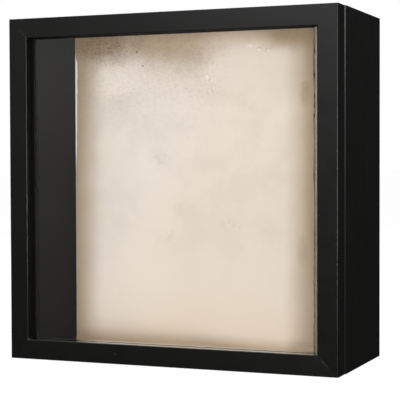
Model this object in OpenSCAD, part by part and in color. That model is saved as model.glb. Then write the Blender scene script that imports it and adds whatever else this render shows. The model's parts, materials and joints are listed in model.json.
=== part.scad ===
// Shadow box frame: a deep wall case with a glazed door.
// The door's face looks along -Y, the wall is on the +Y side and Z is up.
// The origin is on the base, midway between the sides and midway in depth.

/* [Overall] */
// Width over the side panels
overall_w = 330; // [300:1:460]
// Height from the base to the upper face of the top panel
overall_h = 330; // [280:1:460]
// Depth from the face of the door to the wall
overall_d = 145; // [120:1:200]

/* [Case] */
// Thickness of the side panels
side_t = 19; // [18:0.5:24]
// Thickness of the top and bottom panels
panel_t = 6; // [5:0.5:10]
// Width of the housings in the side panels for the top and bottom panels
housing_w = 10; // [9:0.5:12]
// Width of the shoulders in the side panels that the backing board bears on
shoulder_w = 7; // [5:0.5:8]
// Glue gap where one piece is let into another
glue_gap = 0.1; // [0.05:0.05:0.2]

/* [Backing] */
// Thickness of the liner sheet
liner_t = 0.8; // [0.4:0.1:1.5]
// Inner radius of the liner's two folds
fold_r = 6; // [3:0.5:15]
// Gap between the liner and the side panels
liner_gap = 0.5; // [0.2:0.1:1]
// Setback of the liner's front edges from the case's front
liner_setback = 1; // [0.5:0.5:5]
// Thickness of the backing board
board_t = 5; // [3:0.5:8]
// Thickness of the rear panel
rear_panel_t = 3; // [2:0.5:6]
// Clearance around the backing board and the rear panel
backing_gap = 0.5; // [0.2:0.1:1]
// Width and depth of the stop strips behind the rear panel
stop_w = 10; // [8:0.5:12]

/* [Hanging rail] */
// Height of the hanging rail
rail_h = 46; // [46:1:70]
// Thickness of the hanging rail
rail_t = 18; // [15:0.5:24]
// Gap between the stop strips and the hanging rail
rail_gap = 8.2; // [0.5:0.1:20]
// Diameter of the dowels in the rail's ends
dowel_d = 8; // [6:0.5:10]
// Length of a dowel inside the rail
dowel_in_rail = 16; // [10:1:25]
// Length of a dowel inside the side panel
dowel_in_side = 7; // [4:0.5:8]
// Spacing of the two dowels in one end
dowel_spacing = 24; // [14:1:30]

/* [Hangers] */
// Spacing of the two keyhole hangers
hanger_spacing = 200; // [120:1:216]
// Width of a hanger plate
hanger_w = 18; // [16:0.5:22]
// Height of a hanger plate
hanger_h = 40; // [38:1:42]
// Thickness of a hanger plate
hanger_t = 2; // [1.5:0.1:3]
// Diameter of the entry hole for the head of a wall screw
entry_d = 9; // [8:0.5:10]
// Width of the slot for the shank of a wall screw
slot_w = 4.5; // [4:0.1:5]
// Rise from the centre of the entry hole to the end of the slot
slot_rise = 9; // [7:0.5:10]
// Room behind the plate for the head of a wall screw
head_room = 10; // [8:0.5:11]
// Side clearance around that head
head_clear = 0.5; // [0.2:0.1:1]
// Distance of the plate's screws from its ends
hanger_screw_inset = 5.5; // [5:0.5:6]

/* [Door] */
// Thickness of the door
door_t = 22; // [20:0.5:26]
// Width of the faces of the stiles and rails
face_w = 19; // [18:0.5:26]
// Thickness of the lip in front of the glass
lip_t = 8.5; // [5:0.5:9]
// Width of the rabbet behind the lip
rabbet_w = 6; // [5:0.5:7]
// Gap between the door and the case
door_gap = 0.8; // [0.6:0.1:1.5]
// Clearance of the door from the planes of the base and the top
end_gap = 0.5; // [0.3:0.1:2]
// Radius on the front edges of the stiles and rails
arris_r = 0.8; // [0.4:0.1:1.5]
// Chamfer on either side of the finger groove between door and case
groove_c = 2.2; // [1.6:0.1:2.8]

/* [Glazing] */
// Thickness of the glass
glass_t = 2.5; // [2:0.5:4]
// Clearance around the edges of the glass
glass_gap = 0.5; // [0.3:0.1:1]
// Thickness of the glazing strips between the lip and the glass
strip_t = 0.6; // [0.4:0.1:1]
// Width of a glazing strip that shows beside the lip
strip_show = 6; // [2:0.5:10]
// Depth of the beads behind the glass
bead_t = 8; // [5:0.5:8]
// Number of pins in each bead
bead_pins_n = 3; // [2:1:6]
// Diameter of a bead pin
bead_pin_d = 1; // [0.8:0.1:1.4]
// Length of a bead pin in the stile or rail
bead_pin_bite = 5; // [3:0.5:6]
// Distance of the outer pins from the ends of a bead
bead_pin_inset = 22; // [16:1:60]

/* [Hinges] */
// Length of a hinge
hinge_l = 38; // [30:1:50]
// Distance of the hinges from the ends of the case
hinge_inset = 42; // [30:1:70]
// Thickness of a hinge leaf
leaf_t = 1.2; // [1.2:0.1:1.6]
// Width of a hinge leaf
leaf_w = 8; // [7:0.5:8]
// Diameter of the knuckles
barrel_d = 4; // [3.6:0.1:4.6]
// Diameter of a hinge pin
pin_d = 2; // [1.6:0.1:2.4]
// Diameter of the heads on a hinge pin
pin_head_d = 3.2; // [2.6:0.1:3.6]
// Height of the heads on a hinge pin
pin_head_h = 0.8; // [0.5:0.1:1.5]
// Distance of the pins' axis outside the side panel
pin_out = 0.6; // [0.5:0.1:1.5]
// Number of knuckles in a hinge
knuckles = 5; // [3:2:7]
// Gap between neighbouring knuckles
knuckle_gap = 0.3; // [0.2:0.1:0.6]
// Radial running clearance of a pin in the door's knuckles
pin_clear = 0.05; // [0.02:0.01:0.1]
// Clearance of the wood around the barrel and the leaves
leaf_clear = 0.3; // [0.1:0.1:0.5]
// Distance of the hinge screws from the ends of a leaf
leaf_screw_inset = 8; // [5:0.5:11]

/* [Catch] */
// Diameter of the catch magnets
magnet_d = 8; // [5:0.5:9]
// Thickness of the catch magnets
magnet_t = 3; // [2:0.5:5]
// Distance of the magnets from the ends of the case
magnet_inset = 46; // [36:1:100]
// Diameter of the door buffers
buffer_d = 7; // [5:0.5:9]
// Distance of the buffers from the ends of the case
buffer_inset = 24; // [14:1:34]
// Gap between the buffers and the closed door
buffer_gap = 0.3; // [0.1:0.1:0.5]

/* [Fasteners] */
// Diameter of a screw's head
screw_head_d = 4.4; // [4:0.1:4.6]
// Diameter of a screw's shank
screw_d = 2.4; // [2.2:0.1:3]
// Length of a hinge screw
hinge_screw_l = 11; // [8:0.5:14]
// Length of a hanger screw
hanger_screw_l = 12; // [8:0.5:14]
// Length of a screw's point
screw_point = 2; // [1:0.5:3]
// Width of the cross recess in a screw's head
recess_w = 0.6; // [0.4:0.1:0.8]
// Depth of the cross recess
recess_depth = 0.6; // [0.3:0.1:0.8]
// Clearance of the screws and the magnets in their holes
screw_clear = 0.05; // [0.02:0.01:0.1]
// Diameter of a brad
brad_d = 1.2; // [1:0.1:1.6]
// Length of a brad's point in the piece it holds on to
brad_bite = 4; // [2:0.5:4.5]
// Number of brads along one edge of a panel
panel_brads_n = 3; // [2:1:6]
// Distance of the end brads from the ends of a panel's housing
panel_brad_inset = 12; // [6:1:20]
// Number of brads in each stop strip
stop_brads_n = 3; // [2:1:6]
// Distance of the end brads from the ends of a stop strip
stop_brad_inset = 30; // [10:1:60]
// Length of each leg of the corner nails in the mitres
nail_leg = 5; // [3:0.5:6]
// Thickness of the corner nails
nail_t = 0.6; // [0.4:0.1:1]
// Depth of the corner nails
nail_depth = 9; // [5:0.5:12]

/* [Hidden] */
$fn = 64;

// Straight steps in a quarter of a turn on outlines that are drawn as points
arc_steps = 6;
// Length by which a cut runs past the face that it opens
over = 1;

half_w = overall_w / 2;
mid_z = overall_h / 2;
front_y = -overall_d / 2;
rear_y = overall_d / 2;

// Planes of the door, from its face to its back
lip_back_y = front_y + lip_t;
glass_y = lip_back_y + strip_t;
bead_y = glass_y + glass_t;
door_back_y = front_y + door_t;
door_h = overall_h - 2 * end_gap;
door_top_z = overall_h - end_gap;
sight_x = half_w - face_w;
rabbet_x = sight_x + rabbet_w;
rabbet_z = end_gap + face_w - rabbet_w;

// Planes of the case, from its front to the wall
seam_y = door_back_y + door_gap / 2;
case_front_y = door_back_y + door_gap;
rail_y = rear_y - rail_t;
stop_y = rail_y - rail_gap - stop_w;
rear_panel_y = stop_y - rear_panel_t;
shoulder_y = rear_panel_y - board_t;
inner_x = half_w - side_t;
rear_inner_x = inner_x + shoulder_w;
housing_x = inner_x + housing_w;
ceiling_z = overall_h - panel_t;
rail_mid_z = ceiling_z - rail_h / 2;

// Hinges, magnets and buffers
lower_hinge_z = hinge_inset;
upper_hinge_z = overall_h - hinge_inset - hinge_l;
leaf_x = barrel_d / 2 + leaf_clear;
knuckle_pitch = hinge_l / knuckles;
catch_x = (rabbet_x + half_w - groove_c) / 2;
screw_head_h = (screw_head_d - screw_d) / 2;

// Height of a keyhole's entry hole over the middle of its plate, which centres the keyhole there
entry_z = (entry_d / 2 - slot_rise - slot_w / 2) / 2;

// Evenly spread values from first to last
function spread(first, last, count) =
    [for (i = [0 : count - 1]) first + (last - first) * i / (count - 1)];

// Points along an arc, from one angle to another
function arc(centre, r, from, to) =
    let (steps = ceil(abs(to - from) / 90 * arc_steps))
    [for (i = [0 : steps]) let (a = from + (to - from) * i / steps) centre + r * [cos(a), sin(a)]];

// Outline of a slot with round ends that are centred at the heights low and high
function slot_outline(width, low, high) =
    concat(arc([0, high], width / 2, 0, 180), arc([0, low], width / 2, 180, 360));

// Box between its lowest and its highest corner
module block(low, high) {
    translate(low) cube(high - low);
}

// The child on the right, and its mirror image on the left
module both_sides() {
    for (side = [0, 1]) mirror([side, 0, 0]) children();
}

// The child at the base, and its mirror image at the top
module both_ends() {
    for (end = [0, 1]) translate([0, 0, end * overall_h]) mirror([0, 0, end]) children();
}

// Places for parts of the door's four sides, drawn along Z with the outer edge at x = 0
module at_right() {
    translate([half_w, 0, mid_z]) children();
}
module at_left() {
    mirror([1, 0, 0]) at_right() children();
}
module at_top() {
    translate([0, 0, door_top_z]) rotate([0, -90, 0]) children();
}
module at_bottom() {
    translate([0, 0, end_gap]) rotate([0, 90, 0]) children();
}

// Countersunk screw with its head at z = 0 and its point up
module screw(length) {
    difference() {
        union() {
            cylinder(d1 = screw_head_d, d2 = screw_d, h = screw_head_h);
            cylinder(d = screw_d, h = length - screw_point);
            translate([0, 0, length - screw_point]) cylinder(d1 = screw_d, d2 = recess_w, h = screw_point);
        }
        for (turn = [0, 90])
            rotate([0, 0, turn])
                block(
                    [-screw_d / 2, -recess_w / 2, -over],
                    [screw_d / 2, recess_w / 2, recess_depth]
                );
    }
}

// Hole for that screw
module screw_hole(length) {
    cylinder(d1 = screw_head_d + 2 * screw_clear, d2 = screw_d + 2 * screw_clear, h = screw_head_h);
    translate([0, 0, -over]) cylinder(d = screw_d + 2 * screw_clear, h = length + over + screw_clear);
}

// Groove down the right of the seam, which gives a fingertip hold on the door
module finger_groove() {
    translate([0, 0, -over])
        linear_extrude(overall_h + 2 * over)
            polygon([
                [half_w + over, door_back_y - groove_c - over],
                [half_w - groove_c, door_back_y],
                [half_w - groove_c, case_front_y],
                [half_w + over, case_front_y + groove_c + over],
            ]);
}

// Brads through the ends of the top and bottom panels into the side panels
module panel_brad_set() {
    both_sides()
        both_ends()
            for (y = spread(case_front_y + panel_brad_inset, shoulder_y - panel_brad_inset, panel_brads_n))
                translate([inner_x + housing_w / 2, y, 0]) cylinder(d = brad_d, h = panel_t + brad_bite);
}

// Brads through the stop strips into the panels that they lie on
module stop_brad_set() {
    both_sides()
        for (z = spread(panel_t + stop_brad_inset, ceiling_z - stop_brad_inset, stop_brads_n))
            translate([rear_inner_x - stop_w, stop_y + stop_w / 2, z])
                rotate([0, 90, 0]) cylinder(d = brad_d, h = stop_w + brad_bite);
    both_ends()
        for (x = spread(stop_brad_inset - rear_inner_x, rear_inner_x - stop_brad_inset, stop_brads_n))
            translate([x, stop_y + stop_w / 2, panel_t - brad_bite])
                cylinder(d = brad_d, h = stop_w + brad_bite);
}

// Dowels that carry the hanging rail in the side panels
module dowel_set() {
    both_sides()
        for (z = [rail_mid_z - dowel_spacing / 2, rail_mid_z + dowel_spacing / 2])
            translate([rear_inner_x - dowel_in_rail, rail_y + rail_t / 2, z])
                rotate([0, 90, 0]) cylinder(d = dowel_d, h = dowel_in_rail + dowel_in_side);
}

// Places for the catch magnets and for the buffers, both at the seam on the right
module at_magnets(y) {
    both_ends() translate([catch_x, y, magnet_inset]) children();
}
module magnet(clear) {
    rotate([-90, 0, 0]) cylinder(d = magnet_d + 2 * clear, h = magnet_t);
}
module buffer_set() {
    both_ends()
        translate([catch_x, case_front_y, buffer_inset])
            rotate([90, 0, 0]) cylinder(d = buffer_d, h = door_gap - buffer_gap);
}

// Frame of a hinge: its axis along Z, the case on the +Y side and the wood on the +X side
module at_hinge(z) {
    translate([-half_w - pin_out, seam_y, z]) children();
}
module at_hinges() {
    for (z = [lower_hinge_z, upper_hinge_z]) at_hinge(z) children();
}
module at_leaf_screws() {
    for (z = [leaf_screw_inset, hinge_l - leaf_screw_inset])
        translate([leaf_x + leaf_w / 2, door_gap / 2, z]) rotate([-90, 0, 0]) children();
}

// Hinge leaf on the case's side, with every second knuckle from the first one given
module leaf(first, clear) {
    difference() {
        union() {
            block([leaf_x, door_gap / 2, 0], [leaf_x + leaf_w, door_gap / 2 + leaf_t, hinge_l]);
            for (k = [first : 2 : knuckles - 1]) {
                low = k * knuckle_pitch + (k == 0 ? 0 : knuckle_gap / 2);
                high = (k + 1) * knuckle_pitch - (k == knuckles - 1 ? 0 : knuckle_gap / 2);
                translate([0, 0, low]) cylinder(d = barrel_d, h = high - low);
                block([0, door_gap / 2, low], [leaf_x + over, door_gap / 2 + leaf_t, high]);
            }
        }
        translate([0, 0, -over]) cylinder(d = pin_d + 2 * clear, h = hinge_l + 2 * over);
        at_leaf_screws() screw_hole(hinge_screw_l);
    }
}

// Recess for a leaf and its barrel, with the pilot holes of its screws
module mortise() {
    block(
        [-pin_out - over, 0, -leaf_clear],
        [leaf_x + leaf_w + leaf_clear, door_gap / 2 + leaf_t, hinge_l + leaf_clear]
    );
    translate([0, 0, -pin_head_h - leaf_clear])
        cylinder(d = barrel_d + 2 * leaf_clear, h = hinge_l + 2 * (pin_head_h + leaf_clear));
    at_leaf_screws() screw_hole(hinge_screw_l);
}

module hinge_pin() {
    cylinder(d = pin_d, h = hinge_l);
    for (z = [-pin_head_h, hinge_l]) translate([0, 0, z]) cylinder(d = pin_head_d, h = pin_head_h);
}

// Right side panel before its hinge or catch is fitted
module side_blank() {
    difference() {
        linear_extrude(overall_h)
            polygon([
                [inner_x, case_front_y],
                [half_w, case_front_y],
                [half_w, rear_y],
                [rear_inner_x, rear_y],
                [rear_inner_x, shoulder_y],
                [inner_x, shoulder_y],
            ]);
        finger_groove();
        both_ends()
            block([inner_x - over, case_front_y - over, -over], [housing_x, rear_y + over, panel_t]);
        panel_brad_set();
        stop_brad_set();
        dowel_set();
    }
}

// Bottom panel, let into the housings of both side panels
module panel_blank() {
    panel_x = housing_x - glue_gap;
    difference() {
        block([-panel_x, case_front_y, 0], [panel_x, rear_y, panel_t]);
        panel_brad_set();
        stop_brad_set();
    }
}

// Board that fills the case from side to side behind the shoulders
module backing_sheet(y, thickness) {
    sheet_x = rear_inner_x - backing_gap;
    block([-sheet_x, y, panel_t + backing_gap], [sheet_x, y + thickness, ceiling_z - backing_gap]);
}

// Right stop strip, from the bottom panel to the top panel
module side_stop() {
    difference() {
        block(
            [rear_inner_x - stop_w, stop_y, panel_t],
            [rear_inner_x, stop_y + stop_w, ceiling_z]
        );
        stop_brad_set();
    }
}

// Bottom stop strip, between the two upright ones
module end_stop() {
    stop_x = rear_inner_x - stop_w - glue_gap;
    difference() {
        block([-stop_x, stop_y, panel_t], [stop_x, stop_y + stop_w, panel_t + stop_w]);
        stop_brad_set();
    }
}

// Places for the hanger plates, and for the screws in one plate
module at_hangers() {
    both_sides() translate([hanger_spacing / 2, rear_y, rail_mid_z]) rotate([90, 0, 0]) children();
}
module at_hanger_screws() {
    for (end = [-1, 1]) translate([0, end * (hanger_h / 2 - hanger_screw_inset), 0]) children();
}

module hanger_plate() {
    end_z = (hanger_h - hanger_w) / 2;
    difference() {
        linear_extrude(hanger_t) polygon(slot_outline(hanger_w, -end_z, end_z));
        translate([0, entry_z, -over]) cylinder(d = entry_d, h = hanger_t + 2 * over);
        translate([0, entry_z, -over])
            linear_extrude(hanger_t + 2 * over) polygon(slot_outline(slot_w, 0, slot_rise));
        at_hanger_screws() screw_hole(hanger_screw_l);
    }
}

// Recess in the rail for a hanger plate, with the room behind it
module hanger_recess() {
    end_z = (hanger_h - hanger_w) / 2;
    translate([0, 0, -over])
        linear_extrude(hanger_t + over)
            polygon(slot_outline(hanger_w + 2 * glue_gap, -end_z, end_z));
    translate([0, entry_z, 0])
        linear_extrude(hanger_t + head_room)
            polygon(slot_outline(entry_d + 2 * head_clear, 0, slot_rise));
    at_hanger_screws() screw_hole(hanger_screw_l);
}

// Wedge that cuts both ends of one side of the door to a mitre
module mitre_wedge(length) {
    half = length / 2;
    translate([0, door_back_y + over, 0])
        rotate([90, 0, 0])
            linear_extrude(door_t + 2 * over)
                polygon([
                    [over, half + over],
                    [over, -half - over],
                    [-face_w - over, face_w + over - half],
                    [-face_w - over, half - face_w - over],
                ]);
}

// Section of a stile or rail: round front edges, and a rabbet behind the lip
module member_section() {
    polygon(concat(
        arc([-face_w + arris_r, front_y + arris_r], arris_r, 180, 270),
        arc([-arris_r, front_y + arris_r], arris_r, 270, 360),
        [
            [0, door_back_y],
            [rabbet_w - face_w, door_back_y],
            [rabbet_w - face_w, lip_back_y],
            [-face_w, lip_back_y],
        ]
    ));
}

// Pins through the bead of one side of the door
module bead_pin_row(length) {
    last = length / 2 - face_w - bead_pin_inset;
    for (z = spread(-last, last, bead_pins_n))
        translate([-face_w, bead_y + bead_t / 2, z])
            rotate([0, 90, 0]) cylinder(d = bead_pin_d, h = rabbet_w + bead_pin_bite);
}

// Stile or rail of the given outer length
module member(length) {
    difference() {
        intersection() {
            translate([0, 0, -length / 2]) linear_extrude(length) member_section();
            mitre_wedge(length);
        }
        bead_pin_row(length);
    }
}

// Bead that holds the glass in one side of the door
module bead(length) {
    difference() {
        intersection() {
            block(
                [-face_w, bead_y, -length / 2],
                [rabbet_w - face_w - glue_gap, bead_y + bead_t, length / 2]
            );
            mitre_wedge(length);
        }
        bead_pin_row(length);
    }
}

// Angled nails driven into the back of the four mitres
module corner_nail_set() {
    land = (face_w - rabbet_w) / 2;
    corner = [half_w - land, door_back_y, end_gap + land];
    both_sides()
        both_ends()
            translate(corner) {
                block([-nail_leg, -nail_depth, -nail_t / 2], [nail_t / 2, 0, nail_t / 2]);
                block([-nail_t / 2, -nail_depth, -nail_t / 2], [nail_t / 2, 0, nail_leg]);
            }
}

// Strip between the lip and the glass on the right
module glazing_strip() {
    block(
        [sight_x - strip_show, lip_back_y, rabbet_z + glass_gap],
        [rabbet_x - glass_gap, glass_y, overall_h - rabbet_z - glass_gap]
    );
}

// Case
module left_side_panel() {
    color("#1c1a1a")
        difference() {
            mirror([1, 0, 0]) side_blank();
            at_hinges() mortise();
        }
}
module right_side_panel() {
    color("#1c1a1a")
        difference() {
            side_blank();
            at_magnets(case_front_y) magnet(screw_clear);
        }
}
module top_panel() {
    color("#1c1a1a") translate([0, 0, overall_h]) mirror([0, 0, 1]) panel_blank();
}
module bottom_panel() {
    color("#1c1a1a") panel_blank();
}
module panel_brads() {
    color("#2a2828") panel_brad_set();
}

// Backing
module liner() {
    outer_r = fold_r + liner_t;
    fold_y = shoulder_y - outer_r;
    edge_y = case_front_y + liner_setback;
    low = [fold_y, panel_t + outer_r];
    high = [fold_y, ceiling_z - outer_r];
    liner_x = inner_x - liner_gap;
    color("#e4d8c8")
        translate([-liner_x, 0, 0])
            rotate([90, 0, 90])
                linear_extrude(2 * liner_x)
                    polygon(concat(
                        [[edge_y, panel_t]],
                        arc(low, outer_r, -90, 0),
                        arc(high, outer_r, 0, 90),
                        [[edge_y, ceiling_z], [edge_y, ceiling_z - liner_t]],
                        arc(high, fold_r, 90, 0),
                        arc(low, fold_r, 0, -90),
                        [[edge_y, panel_t + liner_t]]
                    ));
}
module backing_board() {
    color("#f2f0ea") backing_sheet(shoulder_y, board_t);
}
module rear_panel() {
    color("#6b4a30") backing_sheet(rear_panel_y, rear_panel_t);
}
module left_stop_strip() {
    color("#c9a06a") mirror([1, 0, 0]) side_stop();
}
module right_stop_strip() {
    color("#c9a06a") side_stop();
}
module top_stop_strip() {
    color("#c9a06a") translate([0, 0, overall_h]) mirror([0, 0, 1]) end_stop();
}
module bottom_stop_strip() {
    color("#c9a06a") end_stop();
}
module stop_brads() {
    color("#9a9a9a") stop_brad_set();
}

// Hanging hardware
module hanging_rail() {
    rail_x = rear_inner_x - glue_gap;
    color("#c9a06a")
        difference() {
            block([-rail_x, rail_y, ceiling_z - rail_h], [rail_x, rear_y, ceiling_z]);
            dowel_set();
            at_hangers() hanger_recess();
        }
}
module rail_dowels() {
    color("#d8b98a") dowel_set();
}
module hanger_plates() {
    color("#b9b9b4") at_hangers() hanger_plate();
}
module hanger_screws() {
    color("#c8b25a") at_hangers() at_hanger_screws() screw(hanger_screw_l);
}

// Door
module left_stile() {
    color("#201e1e")
        difference() {
            at_left() member(door_h);
            mirror([1, 0, 0]) finger_groove();
            corner_nail_set();
            translate([0, 2 * seam_y, 0]) mirror([0, 1, 0]) at_hinges() mortise();
        }
}
module right_stile() {
    color("#201e1e")
        difference() {
            at_right() member(door_h);
            finger_groove();
            corner_nail_set();
            at_magnets(door_back_y - magnet_t) magnet(screw_clear);
        }
}
module top_rail() {
    color("#201e1e")
        difference() {
            at_top() member(overall_w);
            both_sides() finger_groove();
            corner_nail_set();
        }
}
module bottom_rail() {
    color("#201e1e")
        difference() {
            at_bottom() member(overall_w);
            both_sides() finger_groove();
            corner_nail_set();
        }
}
module corner_nails() {
    color("#8f8f8f") corner_nail_set();
}

// Glazing
module glass_pane() {
    glass_x = rabbet_x - glass_gap;
    color("#dfeef0", 0.3)
        block(
            [-glass_x, glass_y, rabbet_z + glass_gap],
            [glass_x, bead_y, overall_h - rabbet_z - glass_gap]
        );
}
module left_glazing_strip() {
    color("#a39a8c") mirror([1, 0, 0]) glazing_strip();
}
module right_glazing_strip() {
    color("#a39a8c") glazing_strip();
}
module left_bead() {
    color("#171616") at_left() bead(door_h);
}
module right_bead() {
    color("#171616") at_right() bead(door_h);
}
module top_bead() {
    color("#171616") at_top() bead(overall_w);
}
module bottom_bead() {
    color("#171616") at_bottom() bead(overall_w);
}
module bead_pins() {
    color("#8f8f8f") {
        at_left() bead_pin_row(door_h);
        at_right() bead_pin_row(door_h);
        at_top() bead_pin_row(overall_w);
        at_bottom() bead_pin_row(overall_w);
    }
}

// Hinges: the door's leaves are the case's, mirrored across the seam
module case_leaf(z) {
    color("#3a3733") at_hinge(z) leaf(0, 0);
}
module door_leaf(z) {
    color("#3a3733") at_hinge(z) mirror([0, 1, 0]) leaf(1, pin_clear);
}
module upper_hinge_case_leaf() {
    case_leaf(upper_hinge_z);
}
module upper_hinge_door_leaf() {
    door_leaf(upper_hinge_z);
}
module upper_hinge_pin() {
    color("#4a4640") at_hinge(upper_hinge_z) hinge_pin();
}
module lower_hinge_case_leaf() {
    case_leaf(lower_hinge_z);
}
module lower_hinge_door_leaf() {
    door_leaf(lower_hinge_z);
}
module lower_hinge_pin() {
    color("#4a4640") at_hinge(lower_hinge_z) hinge_pin();
}
module hinge_case_screws() {
    color("#4a4640") at_hinges() at_leaf_screws() screw(hinge_screw_l);
}
module hinge_door_screws() {
    color("#4a4640") at_hinges() mirror([0, 1, 0]) at_leaf_screws() screw(hinge_screw_l);
}

// Catch
module case_magnets() {
    color("#c0c0c4") at_magnets(case_front_y) magnet(0);
}
module door_magnets() {
    color("#c0c0c4") at_magnets(door_back_y - magnet_t) magnet(0);
}
module door_buffers() {
    color("#3c3c3c") buffer_set();
}

left_side_panel();
right_side_panel();
top_panel();
bottom_panel();
panel_brads();
liner();
backing_board();
rear_panel();
left_stop_strip();
right_stop_strip();
top_stop_strip();
bottom_stop_strip();
stop_brads();
hanging_rail();
rail_dowels();
hanger_plates();
hanger_screws();
left_stile();
right_stile();
top_rail();
bottom_rail();
corner_nails();
glass_pane();
left_glazing_strip();
right_glazing_strip();
left_bead();
right_bead();
top_bead();
bottom_bead();
bead_pins();
upper_hinge_case_leaf();
upper_hinge_door_leaf();
upper_hinge_pin();
lower_hinge_case_leaf();
lower_hinge_door_leaf();
lower_hinge_pin();
hinge_case_screws();
hinge_door_screws();
case_magnets();
door_magnets();
door_buffers();
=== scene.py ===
"""Shadow box frame: the finish of a lined wall case with a mitred, glazed door, and its photograph."""
import json
import math
import random

import bmesh
import bpy
from mathutils import Matrix, Vector, noise


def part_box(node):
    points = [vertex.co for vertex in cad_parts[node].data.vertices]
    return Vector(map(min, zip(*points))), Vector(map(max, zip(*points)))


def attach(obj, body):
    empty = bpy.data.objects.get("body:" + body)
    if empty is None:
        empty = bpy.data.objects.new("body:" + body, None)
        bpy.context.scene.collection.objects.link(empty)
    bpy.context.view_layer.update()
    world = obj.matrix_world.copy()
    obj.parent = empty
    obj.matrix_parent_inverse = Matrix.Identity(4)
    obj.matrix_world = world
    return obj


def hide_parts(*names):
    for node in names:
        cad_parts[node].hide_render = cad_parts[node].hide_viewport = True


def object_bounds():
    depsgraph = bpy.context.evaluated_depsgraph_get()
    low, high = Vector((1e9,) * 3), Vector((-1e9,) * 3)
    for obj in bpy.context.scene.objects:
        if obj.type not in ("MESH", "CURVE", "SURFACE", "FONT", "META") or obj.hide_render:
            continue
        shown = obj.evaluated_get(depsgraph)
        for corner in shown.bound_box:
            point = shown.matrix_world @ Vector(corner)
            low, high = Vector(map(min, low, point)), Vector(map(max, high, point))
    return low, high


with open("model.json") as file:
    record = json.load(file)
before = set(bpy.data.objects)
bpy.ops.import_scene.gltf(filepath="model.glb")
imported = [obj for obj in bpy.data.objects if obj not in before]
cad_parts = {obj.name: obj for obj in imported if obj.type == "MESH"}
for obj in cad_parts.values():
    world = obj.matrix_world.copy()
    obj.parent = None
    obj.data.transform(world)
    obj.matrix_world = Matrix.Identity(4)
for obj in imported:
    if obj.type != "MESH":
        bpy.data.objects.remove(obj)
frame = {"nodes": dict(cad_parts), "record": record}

bl_info = {
    "name": "Shadow Box Frame",
    "version": (1, 0, 0),
    "blender": (4, 5, 0),
    "location": "View3D > Sidebar > Shadow Box",
    "description": "Finishes the pieces of a glazed wall case and sets up its photograph",
    "category": "Object",
}

CAD_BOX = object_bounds()
MM = 0.001
BODY_OF = {node: body for body, nodes in frame["record"]["behaviour"]["bodies"].items() for node in nodes}
LINER_LOW, LINER_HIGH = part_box("liner")
STRIP_LOW, STRIP_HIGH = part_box("right_glazing_strip")
GLASS_LOW, GLASS_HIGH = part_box("glass_pane")
LIP_BACK_Y = STRIP_LOW.y
MID_Z = (CAD_BOX[0].z + CAD_BOX[1].z) / 2

# Limits of the mesh work: spots this close are one, faces that meet at less than the first angle are one,
# and edges sharper than the second are rounded
TOUCHING = 0.001 * MM
FLAT_ANGLE = math.radians(0.5)
SHARP_ANGLE = math.radians(35)
ARRIS_SEGMENTS = 2
QUARTER_TURN = math.radians(90)

# How much of a face's normal lies along an axis when the face looks that way, and when it is square to it
FACING = 0.5
SQUARE = 0.95

# Pieces of a kind
UPRIGHT_DOOR = ("left_stile", "right_stile")
LEVEL_DOOR = ("top_rail", "bottom_rail")
BEADS = ("left_bead", "right_bead", "top_bead", "bottom_bead")
UPRIGHT_CASE = ("left_side_panel", "right_side_panel")
LEVEL_CASE = ("top_panel", "bottom_panel")
UPRIGHT_PINE = ("left_stop_strip", "right_stop_strip")
LEVEL_PINE = ("top_stop_strip", "bottom_stop_strip", "hanging_rail")
HINGES = (
    "upper_hinge_case_leaf", "upper_hinge_door_leaf", "upper_hinge_pin",
    "lower_hinge_case_leaf", "lower_hinge_door_leaf", "lower_hinge_pin",
)
HINGE_SCREWS = ("hinge_case_screws", "hinge_door_screws")
STEEL_FIXINGS = ("panel_brads", "stop_brads", "corner_nails", "bead_pins", "hanger_screws")
MAGNETS = ("case_magnets", "door_magnets")

# Wear of the lacquer on the door: the middle and half the size of each mark, in mm across and up
RUBBED_MITRES = (((150.5, 14.5), (12, 12)), ((-152, 317), (12, 12)))
CHIPS = (((-145.8, 19.7), (1.6, 1.6)), ((-52.7, 10.2), (1.1, 1.1)))

# Marks in the liner paper on the back, given in the same way, the first two kinds with how strong they are
DARK_PATCHES = (
    ((-28, 311), (60, 44), 0.76), ((-58, 310), (38, 26), 0.66), ((90, 317), (62, 22), 1),
    ((40, 311), (18, 9), 0.2), ((104, 256), (9, 16), 0.75), ((101, 105), (9, 20), 0.45),
)
UPPER_CORNER_PATCHES = (((-116, 310), (68, 26), 1), ((93, 313), (42, 21), 0.42))
WRINKLES = (
    ((5.5, 262), (7, 14)), ((41.3, 246.6), (12, 9)), ((-50.1, 193), (16, 18)), ((-28.4, 142.7), (10, 13)),
    ((-39.4, 117.4), (8, 10)), ((25.3, 128.5), (20, 10)), ((102.9, 264.6), (7, 9)),
)
LONE_SPOTS = (((-75.2, 302.4), (2.4, 2.4)), ((-68.6, 288.1), (1.5, 1.5)))
PALE_PATCH = ((-98, 274), (48, 26))
BLISTERS = (
    ((46.7, 304.5), (5.5, 3.2)), ((56, 300.8), (3, 2.4)), ((65.3, 299.5), (3.2, 2.6)),
    ((0.8, 275.3), (4, 3.6)), ((5.5, 271.5), (2.4, 3)), ((3.2, 260.5), (2.4, 4.2)),
    ((8.5, 264.5), (1.8, 3)),
)

# Stains at the open edge of the right glazing strip, given in the same way
STRIP_STAINS = (
    ((140.6, 267.5), (1.8, 4)), ((140.5, 249), (1.9, 5)), ((140.6, 241), (1.9, 4.5)),
    ((140.8, 231.5), (1.5, 3)), ((140.6, 53.5), (1.2, 1.6)), ((141, 290), (1.1, 7)),
)

# Stretches of the coordinates that draw a grain out along one axis
ALONG_X = (0.03, 1, 1)
ALONG_Z = (1, 1, 0.03)


def length(name, description, default):
    """A size of a piece, in metres."""
    return bpy.props.FloatProperty(name=name, description=description, default=default, min=0, unit="LENGTH")


def colour(name, description, default):
    """A colour of a finish, linear."""
    return bpy.props.FloatVectorProperty(
        name=name, description=description, default=default, size=3, min=0, max=1, subtype="COLOR"
    )


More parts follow.
